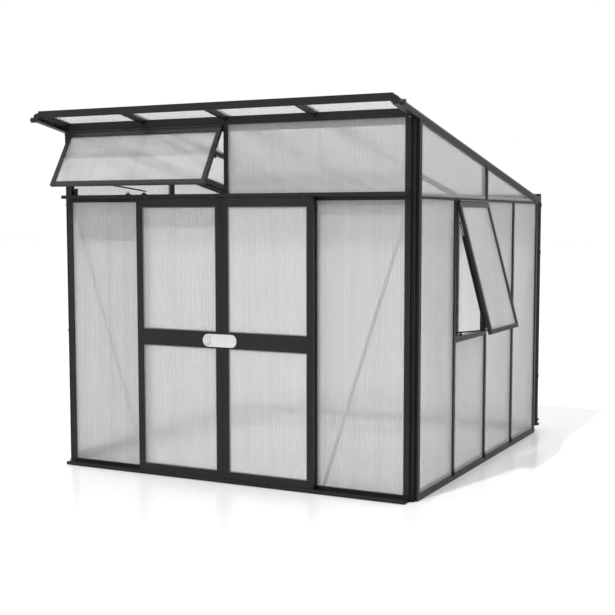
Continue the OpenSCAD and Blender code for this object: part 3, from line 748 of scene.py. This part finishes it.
def feet(name, to, pegs, floor_z, half):
    """A foot round each peg, standing on the rail or sill at floor_z."""
    def build(mesh):
        outline = [(PEG_V + v, floor_z + z) for v, z in FOOT]
        for u in pegs:
            strip(mesh, to, outline, u - half, u + half)
            lathe(mesh, to, (u, PEG_V, floor_z + FOOT_COLLAR_UP), FOOT_COLLAR, FOOT_STEPS,
                  upright=True)
    piece(name, "frame", black_plastic, build, bevel=0.6)


feet("vent_peg_feet", at, VENT_PEGS, RAIL_TOP, VENT_FOOT_HALF)
feet("window_peg_feet", on_right, WINDOW_PEGS, WINDOW_SILL, WINDOW_FOOT_HALF)

# Catches beside the vent and the window: (wall, low corner, high corner, draft)
VENT_CATCHES = ((at, (75.3, 11.0, RAIL_TOP), (99.0, 38.0, 1846.0), 1.5),
                (at, (79.0, 9.2, 1806.0), (95.0, 11.2, 1826.0), 1.2),
                (on_mid_post, (9.6, -8.0, 2028.0), (30.0, SUNK, 2052.0), 1.5))
WINDOW_CATCHES = ((on_right, (669.2, 11.0, 1676.0), (692.0, 30.0, 1718.0), 1.5),
                  (on_right, (673.0, 9.2, 1682.0), (688.0, 11.2, 1692.0), 1.0))
VENT_CATCH_SCREW = (at, 86.0, 12.5, 1838.0)
WINDOW_CATCH_SCREW = (on_right, 681.0, 12.5, 1706.0)


def catches(name, screw_name, blocks, screw):
    """Catches made of drafted blocks, and the one screw that shows."""
    def build(mesh):
        for to, low, high, draft in blocks:
            block(mesh, to, low, high, draft)
    piece(name, "frame", black_plastic, build, bevel=1.0)
    screws(screw_name, "frame", bare_metal, [screw])


catches("vent_catches", "vent_catch_screw", VENT_CATCHES, VENT_CATCH_SCREW)

# Vent: a lug with its plate on the right stile, and a bent link above it
LUG = ((8.2, 2046.0), (8.2, 2008.0), (20.0, 2012.0), (50.0, 2022.0), (54.0, 2027.0),
       (50.0, 2031.0), (24.0, 2036.0))
LUG_SPAN = (VENT_RIGHT - 24.0, VENT_RIGHT - 14.0)
LUG_PLATE = ((8.2, 2052.0), (8.2, 2002.0), (10.6, 2002.0), (10.6, 2052.0))
LUG_PLATE_WIDER = 6
LINK_U = VENT_RIGHT - 5.0
LINK = ((9.5, 2094.0), (40.0, 2070.0))
LINK_RADIUS = 2.2
LINK_STUD = ((8.0, 2094.0), (13.0, 2094.0))
LINK_STUD_RADIUS = 4.5
ROD_STEPS = 12
ROD_DOME = (0.5, 0.55)  # a rod's end: how far it stands out and how wide it is, in radii


def build_vent_lug(mesh):
    a, b = LUG_SPAN
    strip(mesh, on_vent, LUG, a, b)
    strip(mesh, on_vent, LUG_PLATE, a - LUG_PLATE_WIDER, b + LUG_PLATE_WIDER)


def rod(mesh, start, end, radius):
    """A round rod with domed ends between two points."""
    axis, side, other = axes_along(start, end)
    r = radius / MM
    out, narrow = ROD_DOME
    rings = []
    for point, scale in ((start - axis * out * r, narrow), (start, 1.0), (end, 1.0),
                         (end + axis * out * r, narrow)):
        rings.append([mesh.verts.new(point + (side * math.cos(turn(i, ROD_STEPS))
                      + other * math.sin(turn(i, ROD_STEPS))) * r * scale)
                      for i in range(ROD_STEPS)])
    shell(mesh, rings)


def build_vent_link(mesh):
    for (start, end), radius in ((LINK, LINK_RADIUS), (LINK_STUD, LINK_STUD_RADIUS)):
        rod(mesh, on_vent(LINK_U, *start), on_vent(LINK_U, *end), radius)


piece("vent_lug", "vent", black_plastic, build_vent_lug, bevel=0.8)
piece("vent_link", "vent", bare_metal, build_vent_link)

# Window: a pale eye where the lift rod leaves its tube
EYE_U = WINDOW_LEFT + 13.0
EYE_V = 19.3
TUBE_END = WINDOW_AXIS - 222.0
EYE_UP = 11.0
EYE_RADIUS = 0.0075  # metres, as the next
EYE_WIRE = 0.0024
EYE_STEPS = 24
EYE_AROUND = 10


def build_lift_eye(mesh):
    centre = on_window(EYE_U, EYE_V, TUBE_END + EYE_UP)
    axis, side, other = axes_along(on_window(EYE_U, EYE_V, TUBE_END), centre)
    rings = []
    for i in range(EYE_STEPS):
        a = turn(i, EYE_STEPS)
        outwards = side * math.cos(a) + other * math.sin(a)
        rings.append([mesh.verts.new(
            centre + outwards * (EYE_RADIUS + EYE_WIRE * math.cos(turn(k, EYE_AROUND)))
            + axis * EYE_WIRE * math.sin(turn(k, EYE_AROUND))) for k in range(EYE_AROUND)])
    for i in range(EYE_STEPS):
        for k in range(EYE_AROUND):
            a, b = rings[i], rings[(i + 1) % EYE_STEPS]
            after = (k + 1) % EYE_AROUND
            mesh.faces.new((a[k], b[k], b[after], a[after]))


piece("lift_rod_eye", "window", bare_metal, build_lift_eye, smooth=True)

# Stay arms: stiffening ribs along both edges
STAY_RIB = ((7.2, -2.2), (7.2, 5.5), (4.6, 5.5), (4.6, -2.2))  # (from the middle, height)
STAY_RIB_SHORT = 0.030  # how far a rib ends before its arm does, in metres


def arm_axes(node):
    """The middle, the long and the thin direction and half the length of a flat arm."""
    points = [v.co.copy() for v in nodes[node].data.vertices]
    middle = sum(points, Vector()) / len(points)
    far = max(points, key=lambda q: (q - middle).length)
    along = (far - middle).normalized()
    ends = sorted((q - middle).dot(along) for q in points)
    middle = middle + along * (ends[0] + ends[-1]) / 2
    face = max((poly.normal for poly in nodes[node].data.polygons),
               key=lambda n: abs(n.z) - abs(n.dot(along)))
    return middle, along, face.normalized(), (ends[-1] - ends[0]) / 2


def stay_ribs(name, node):
    """Ribs that ride with a stay arm."""
    def build(mesh):
        middle, along, thin, half = arm_axes(node)
        along = (along - thin * along.dot(thin)).normalized()
        across = along.cross(thin)
        for side in (-1, 1):
            box_between(mesh, [mesh.verts.new(
                middle + along * (end * (half - STAY_RIB_SHORT)) + across * (side * w / MM)
                + thin * (t / MM)) for end in (-1, 1) for w, t in STAY_RIB])
    piece(name, body_of(node), black_plastic, build, bevel=0.8)


stay_ribs("vent_stay_ribs", "vent_stay")
stay_ribs("window_stay_ribs", "window_stay")
catches("window_catch", "window_catch_screw", WINDOW_CATCHES, WINDOW_CATCH_SCREW)

# Floor, in metres: its reflections are darker than it is, so the posts' side faces stay dark
FLOOR_HALF = 60.0
FLOOR_SINK = 0.0005
FLOOR_MIRRORED = (0.35, 0.35, 0.35)
FACTOR_IN, COLOUR_IN, OTHER_COLOUR_IN, COLOUR_OUT = 0, 6, 7, 2  # sockets of a Mix node for RGBA

bpy.ops.mesh.primitive_plane_add(size=2 * FLOOR_HALF, location=(0, 0, -FLOOR_SINK))
floor = bpy.context.object
floor.name = "studio_floor"
floor_look, floor_tree, floor_shader = material("pale_floor")
floor_colour, _ = noise_between(floor_tree, FLOOR_DULL, FLOOR_PALE, FLOOR_PATCHES)
ray = add(floor_tree, "ShaderNodeLightPath")
mirrored = calc(floor_tree, "SUBTRACT", ray.outputs["Is Glossy Ray"],
                ray.outputs["Is Transmission Ray"], use_clamp=True)
floor_seen = add(floor_tree, "ShaderNodeMix", data_type="RGBA")
floor_tree.links.new(mirrored, floor_seen.inputs[FACTOR_IN])
floor_tree.links.new(floor_colour, floor_seen.inputs[COLOUR_IN])
floor_seen.inputs[OTHER_COLOUR_IN].default_value = rgba(FLOOR_MIRRORED)
floor_tree.links.new(floor_seen.outputs[COLOUR_OUT], floor_shader.inputs["Base Color"])
floor_shader.inputs["Roughness"].default_value = FLOOR_ROUGHNESS
floor_shader.inputs["Specular IOR Level"].default_value = FLOOR_SPECULAR
floor.data.materials.append(floor_look)

# Sky: plain white to the camera, and a glow from above and from behind the house for the rest
world = bpy.data.worlds.new("studio_white")
world.use_nodes = True
sky = world.node_tree
seen = sky.nodes["Background"]
seen.inputs["Color"].default_value = (1, 1, 1, 1)
seen.inputs["Strength"].default_value = 1.0
glow = add(sky, "ShaderNodeBackground")
glow.inputs["Color"].default_value = (1, 1, 1, 1)
direction = add(sky, "ShaderNodeSeparateXYZ")
sky.links.new(add(sky, "ShaderNodeTexCoord").outputs["Generated"], direction.inputs["Vector"])
overhead = mapped(sky, direction.outputs["Z"], SKY_TOP_UP, (SKY_SIDE, SKY_TOP))
lifted = mapped(sky, direction.outputs["Z"], SKY_BEHIND_UP, interpolation_type="SMOOTHSTEP")
behind = mapped(sky, direction.outputs["Y"], SKY_BEHIND_BACK, (0.0, SKY_BEHIND))
sky.links.new(calc(sky, "MULTIPLY_ADD", lifted, behind, overhead), glow.inputs["Strength"])
sky_mix = add(sky, "ShaderNodeMixShader")
sky.links.new(add(sky, "ShaderNodeLightPath").outputs["Is Camera Ray"], sky_mix.inputs["Fac"])
sky.links.new(glow.outputs["Background"], sky_mix.inputs[1])
sky.links.new(seen.outputs["Background"], sky_mix.inputs[2])
sky.links.new(sky_mix.outputs["Shader"], sky.nodes["World Output"].inputs["Surface"])
bpy.context.scene.world = world
bpy.context.scene.view_settings.view_transform = "Standard"

# Sun
sun_data = bpy.data.lights.new("key", "SUN")
sun_data.energy = SUN_STRENGTH
sun_data.angle = SUN_ANGLE
sun = bpy.data.objects.new("key", sun_data)
sun.rotation_euler = SUN_TRAVEL.to_track_quat("-Z", "Y").to_euler()
sun.location = SUN_AT
bpy.context.scene.collection.objects.link(sun)

# Camera
right = Vector((math.cos(CAMERA_YAW), math.sin(CAMERA_YAW), 0))
forward = Vector((-math.sin(CAMERA_YAW) * math.cos(CAMERA_PITCH),
                  math.cos(CAMERA_YAW) * math.cos(CAMERA_PITCH), math.sin(CAMERA_PITCH)))
up = right.cross(forward)
camera_data = bpy.data.cameras.new("photo_camera")
camera_data.sensor_fit = "HORIZONTAL"
camera_data.sensor_width = SENSOR_MM
camera_data.lens = LENS_MM
camera_data.shift_x = SHIFT_X
camera_data.shift_y = SHIFT_Y
camera_data.clip_end = CAMERA_REACH
camera = bpy.data.objects.new("photo_camera", camera_data)
camera.matrix_world = Matrix((
    (right.x, up.x, -forward.x, CAMERA_AT.x),
    (right.y, up.y, -forward.y, CAMERA_AT.y),
    (right.z, up.z, -forward.z, CAMERA_AT.z),
    (0, 0, 0, 1)))
bpy.context.scene.collection.objects.link(camera)
bpy.context.scene.camera = camera
